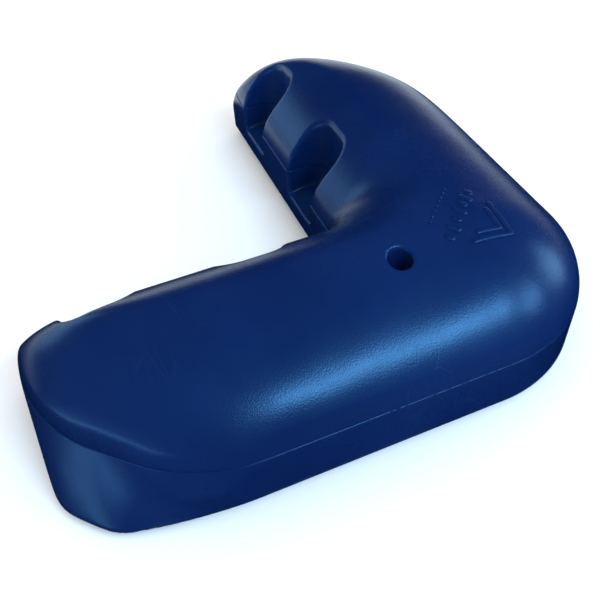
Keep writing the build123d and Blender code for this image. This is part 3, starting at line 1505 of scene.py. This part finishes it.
# ---------------------------------------------------------------------------
# studio
# ---------------------------------------------------------------------------
@dataclass(frozen=True)
class Softbox:
    """One soft area light that looks at the tool, by compass heading and height in degrees."""

    name: str
    heading: float
    height: float
    distance: float
    width: float
    depth: float
    power: float
    tint: Triple = (0.42, 0.72, 1.0)

    def build(self, target: Vector) -> bpy.types.Object:
        """Makes the light.

        Args:
            target: what it looks at.

        Returns:
            The light.
        """
        data = bpy.data.lights.new(self.name, "AREA")
        data.shape = "RECTANGLE"
        data.size, data.size_y = self.width, self.depth
        data.energy, data.color = self.power, self.tint
        light = bpy.data.objects.new(self.name, data)
        bpy.context.scene.collection.objects.link(light)
        turn, lift = math.radians(self.heading), math.radians(self.height)
        way = Vector((math.sin(turn) * math.cos(lift), math.cos(turn) * math.cos(lift), math.sin(lift)))
        light.location = target + way * self.distance
        light.rotation_mode = "QUATERNION"
        light.rotation_quaternion = way.to_track_quat("Z", "Y")
        return light


@dataclass(frozen=True)
class Camera:
    """Where the tool is seen from. Angles are in degrees, the eye is from the outer corner at the seam."""

    eye: Triple = (-0.1456, -0.1007, 0.1698)
    heading: float = 19.91
    pitch: float = 46.70
    roll: float = -3.88
    lens: float = 44.29
    sensor: float = 36.0
    clip: Spot = (0.01, 20.0)

    def build(self, sizes: EdgerSizes) -> bpy.types.Object:
        """Makes the scene's camera.

        Args:
            sizes: where the tool stands.

        Returns:
            The camera.
        """
        data = bpy.data.cameras.new("camera")
        data.lens, data.sensor_width = self.lens, self.sensor
        data.clip_start, data.clip_end = self.clip
        camera = bpy.data.objects.new("camera", data)
        bpy.context.scene.collection.objects.link(camera)
        corner = Vector((sizes.corner_x, sizes.corner_y, sizes.seam_z))
        camera.rotation_mode = "QUATERNION"
        turn = Matrix.Rotation(math.radians(-self.heading), 3, "Z")
        turn = turn @ Matrix.Rotation(math.radians(90.0 - self.pitch), 3, "X")
        turn = turn @ Matrix.Rotation(math.radians(self.roll), 3, "Z")
        camera.location = corner + Vector(self.eye)
        camera.rotation_quaternion = turn.to_quaternion()
        bpy.context.scene.camera = camera
        return camera


@dataclass(frozen=True)
class Studio:
    """Pale floor, soft lights, pale surroundings and the camera."""

    sizes: EdgerSizes
    floor_half: float = 3.0
    floor_split: float = 0.12
    surroundings: float = 1.0
    target: Triple = (0.02, -0.02, 0.02)
    boxes: tuple[Softbox, ...] = (
        Softbox("key_front", 154.0, 47.0, 0.9, 0.56, 0.10, 5.8),
        Softbox("key_corner", 118.0, 32.0, 0.9, 0.24, 0.12, 1.3),
        Softbox("corner_side", 92.0, 16.0, 0.9, 0.24, 0.24, 1.2),
        Softbox("back_left", 325.0, 12.0, 1.2, 0.7, 0.36, 1.6),
        Softbox("end_low", 252.0, 3.0, 1.2, 0.9, 0.10, 2.0),
    )

    def build(self) -> None:
        """Makes the whole studio: only the floor behind the tool is mirrored in its gloss."""
        paper = PalePaper().build()
        half = self.floor_half
        for name, near, far, mirrored in (("floor_front", -half, self.floor_split, False),
                                          ("floor_back", self.floor_split, half, True)):
            corners = np.array([[-half, near, 0], [half, near, 0], [half, far, 0], [-half, far, 0]])
            floor = add_mesh(name, corners, [(0, 1, 2, 3)])
            floor.data.materials.append(paper)
            floor.visible_glossy = mirrored
        for box in self.boxes:
            box.build(Vector(self.target))
        world = bpy.data.worlds.new("surroundings")
        world.use_nodes = True
        background = world.node_tree.nodes["Background"]
        background.inputs["Color"].default_value = rgba(1.0, 1.0, 1.0)
        background.inputs["Strength"].default_value = self.surroundings
        world.cycles_visibility.glossy = False
        bpy.context.scene.world = world
        bpy.context.scene.view_settings.view_transform = "Standard"
        Camera().build(self.sizes)


def main() -> None:
    """Builds every piece, dresses it, and sets up the studio."""
    logging.basicConfig(level=logging.INFO, format="%(name)s: %(message)s")
    sizes = EdgerSizes.from_frame()
    form = BodyForm(sizes, LPlan(sizes))
    shells = Shells(form, Skinner()).build()
    mark = RaisedMark(form).build()
    refill = PadRefill(form, shells.stud_places()).build()
    grip_blue = MouldedBlue("grip_blue", rim_z=sizes.seam_z, scuff_height=0.0).build()
    base_blue = MouldedBlue("base_blue", rim_z=sizes.rim_z).build()
    shells.dress(grip_blue, base_blue)
    mark.dress(grip_blue)
    refill.dress({Slot.FOAM: OpenCellFoam().build(), Slot.FLOCK: WhiteFlock().build(),
                  Slot.BOARD: PALE_MOULDING.build()})
    zinc = ZincPlate().build()
    finish_node("corner_screw", zinc)
    finish_node("arm_screws", zinc)
    finish_node("stud_grommets", BLACK_RUBBER.build())
    Studio(sizes).build()


if __name__ == "__main__":
    main()
